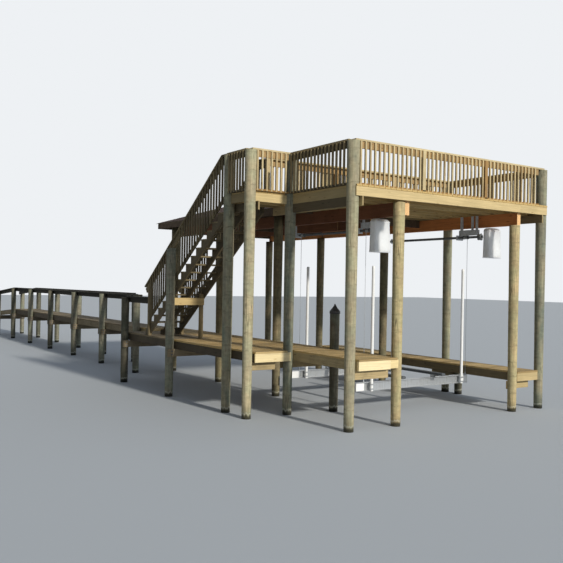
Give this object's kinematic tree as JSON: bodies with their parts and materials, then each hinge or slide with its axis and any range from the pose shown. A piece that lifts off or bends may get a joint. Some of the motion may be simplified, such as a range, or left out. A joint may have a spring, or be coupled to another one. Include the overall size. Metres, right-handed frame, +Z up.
{
  "type": "wooden jetty with an upper deck and a boat lift",
  "caption": "Timber jetty on round piles with a boat slip, a railed upper deck, a stair, a boat lift and a railed walkway to the shore.",
  "frame": {"origin": "centre of the near corner pile at the water level, which is the level of every pile's foot", "axes": "+X to the right along the outer end, +Y back along the walkway to the shore, +Z up"},
  "size_m": [7.1888, 28.4046, 5.68],
  "materials": {
    "pile_wood": "rough peeled pine poles, pressure treated, greenish grey",
    "new_lumber": "sawn treated pine, a few months old",
    "grey_lumber": "sawn pine, weathered grey",
    "red_lumber": "sawn pine, stained reddish brown",
    "shingle": "mineral-faced roof shingles, matt",
    "black_cap": "moulded black plastic",
    "galvanised_steel": "dull galvanised",
    "lift_aluminium": "mill finish, dulled by salt air",
    "white_plastic": "moulded white plastic, semi-gloss"
  },
  "bodies": {
    "jetty": {"tall_piles": "pile_wood", "girder_piles": "pile_wood", "low_piles": "pile_wood", "short_pile": "pile_wood", "short_pile_cap": "black_cap", "walkway_piles": "pile_wood", "dock_caps": "new_lumber", "dock_stringers": "new_lumber", "end_fascias": "new_lumber", "dock_deck": "new_lumber", "landing_deck": "new_lumber", "walkway_caps": "grey_lumber", "walkway_stringers": "grey_lumber", "walkway_deck": "grey_lumber", "walkway_rail_near": "grey_lumber", "walkway_rail_far": "grey_lumber", "catwalk_frame": "new_lumber", "catwalk_deck": "new_lumber", "left_girder": "red_lumber", "right_girder": "red_lumber", "middle_beam": "red_lumber", "left_beams": "new_lumber", "right_beam": "new_lumber", "joists": "new_lumber", "rim_boards": "new_lumber", "upper_deck": "new_lumber", "front_railing": "new_lumber", "left_railing": "new_lumber", "stair_head_railing": "new_lumber", "right_railing": "new_lumber", "rear_railing": "new_lumber", "stair_stringers": "new_lumber", "stair_treads": "new_lumber", "stair_railings": "new_lumber", "stair_posts": "new_lumber", "roof_frame": "red_lumber", "roof_slopes": "shingle", "lift_hangers": "galvanised_steel", "lift_winders": "galvanised_steel", "lift_motor_covers": "white_plastic", "lift_cables": "galvanised_steel"},
    "cradle": {"lift_beams": "lift_aluminium", "lift_beam_ends": "white_plastic", "lift_guides": "white_plastic", "lift_bunks": "grey_lumber"}
  },
  "joints": [
    {"name": "lift_raise", "type": "slide", "parent": "jetty", "child": "cradle", "axis": [0, 0, 1], "range_m": [-0.46, 0.65], "deforming": ["lift_cables"]}
  ]
}
